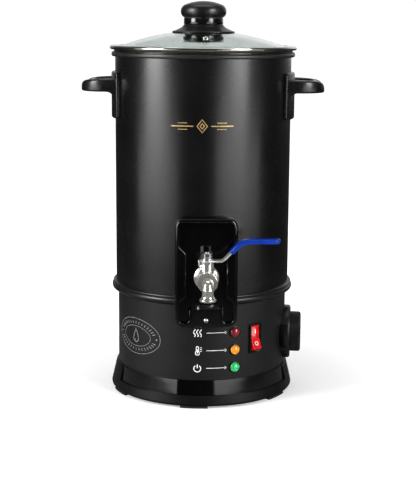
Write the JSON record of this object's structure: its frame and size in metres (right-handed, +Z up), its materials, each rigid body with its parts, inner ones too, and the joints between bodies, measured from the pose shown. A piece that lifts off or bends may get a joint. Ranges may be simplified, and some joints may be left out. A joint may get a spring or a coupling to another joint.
{
  "type": "candle wax melter",
  "caption": "Double-walled wax melting pot on a heated round base, with a ball tap, glass lid, side handles, lamps, rocker switch and dial.",
  "frame": {"origin": "on the floor, on the axis of the pot", "axes": "+Z up along the pot's axis, -Y towards the tap at the front, +X towards the tap lever's end and the thermostat dial"},
  "size_m": [0.2614, 0.2462, 0.418],
  "materials": {
    "black_enamel": "satin black enamel on steel sheet",
    "nonstick_coating": "fine black non-stick coating on aluminium",
    "housing_plastic": "dark grey plastic with a fine spark texture",
    "satin_plastic": "satin black moulded plastic",
    "gloss_black_plastic": "polished black plastic",
    "foot_rubber": "matt black rubber",
    "nickel_plate": "bright nickel plate on brass",
    "ball_steel": "polished stainless steel",
    "rim_steel": "bright spun stainless steel",
    "screw_steel": "zinc-plated steel",
    "lid_glass": "clear tempered glass, faintly green",
    "bakelite": "satin black bakelite",
    "blue_vinyl": "dipped blue vinyl",
    "gasket_fibre": "grey silicone rubber",
    "ptfe": "white PTFE",
    "heater_aluminium": "cast aluminium",
    "element_steel": "oxidised steel tube",
    "glass_wool": "glass wool felt",
    "copper": "copper",
    "contact_brass": "tinned brass",
    "phenolic": "tan phenolic",
    "red_lens": "dark red polycarbonate",
    "amber_lens": "amber polycarbonate",
    "green_lens": "green polycarbonate",
    "red_rocker": "red translucent polycarbonate",
    "wire_jacket": "white silicone jacket",
    "white_nylon": "white nylon"
  },
  "bodies": {
    "melter": {"outer_shell": "black_enamel", "inner_pot": "nonstick_coating", "insulation_wrap": "glass_wool", "heating_plate": "heater_aluminium", "heating_element": "element_steel", "heat_shield": "heater_aluminium", "thermal_cutout": "phenolic", "joint_ring": "satin_plastic", "base_housing": "housing_plastic", "base_skirt": "satin_plastic", "base_trim": "gloss_black_plastic", "bottom_cover": "housing_plastic", "feet": "foot_rubber", "bottom_screws": "screw_steel", "tap_plate": "gloss_black_plastic", "tap_plate_screw": "screw_steel", "tap_nipple": "nickel_plate", "tap_gaskets": "gasket_fibre", "tap_locknut": "nickel_plate", "valve_body": "nickel_plate", "valve_seats": "ptfe", "gland_nut": "nickel_plate", "spout_elbow": "nickel_plate", "spout_nozzle": "nickel_plate", "handle_left": "satin_plastic", "handle_right": "satin_plastic", "handle_screws": "screw_steel", "dial_bezel": "satin_plastic", "thermostat_body": "phenolic", "thermostat_screws": "screw_steel", "thermostat_probe": "copper", "switch_frame": "gloss_black_plastic", "switch_terminals": "contact_brass", "lamp_lens_heating": "red_lens", "lamp_lens_insulation": "amber_lens", "lamp_lens_standby": "green_lens", "lamp_bodies": "gloss_black_plastic", "terminal_block": "white_nylon", "inlet_body": "gloss_black_plastic", "inlet_pins": "contact_brass", "inlet_screws": "screw_steel", "wires": "wire_jacket"},
    "tap_lever": {"lever": "nickel_plate", "lever_sleeve": "blue_vinyl", "lever_nut": "screw_steel", "valve_stem": "nickel_plate", "valve_ball": "ball_steel"},
    "lid": {"lid_glass": "lid_glass", "lid_rim": "rim_steel", "lid_vent": "rim_steel", "lid_seat": "bakelite", "lid_screw": "screw_steel", "knob_skirt": "bakelite", "knob_ring": "bakelite", "knob_cap": "bakelite"},
    "dial": {"thermostat_dial": "satin_plastic", "thermostat_shaft": "screw_steel"},
    "rocker": {"switch_rocker": "red_rocker"}
  },
  "joints": [
    {"name": "lid_lift", "type": "slide", "parent": "melter", "child": "lid", "axis": [0, 0, 1], "range_m": [0, 0.15]},
    {"name": "valve_turn", "type": "hinge", "parent": "melter", "child": "tap_lever", "pos_m": [0, -0.1195, 0.1602], "axis": [0, 0, 1], "range_deg": [-90, 0]},
    {"name": "dial_turn", "type": "hinge", "parent": "melter", "child": "dial", "pos_m": [0.09744, -0.0137, 0.061], "axis": [0.9903, -0.1392, 0], "range_deg": [0, 300]},
    {"name": "rocker_tilt", "type": "hinge", "parent": "melter", "child": "rocker", "pos_m": [0.05116, -0.07307, 0.0697], "axis": [0.8192, 0.5736, 0], "range_deg": [0, 24]}
  ]
}
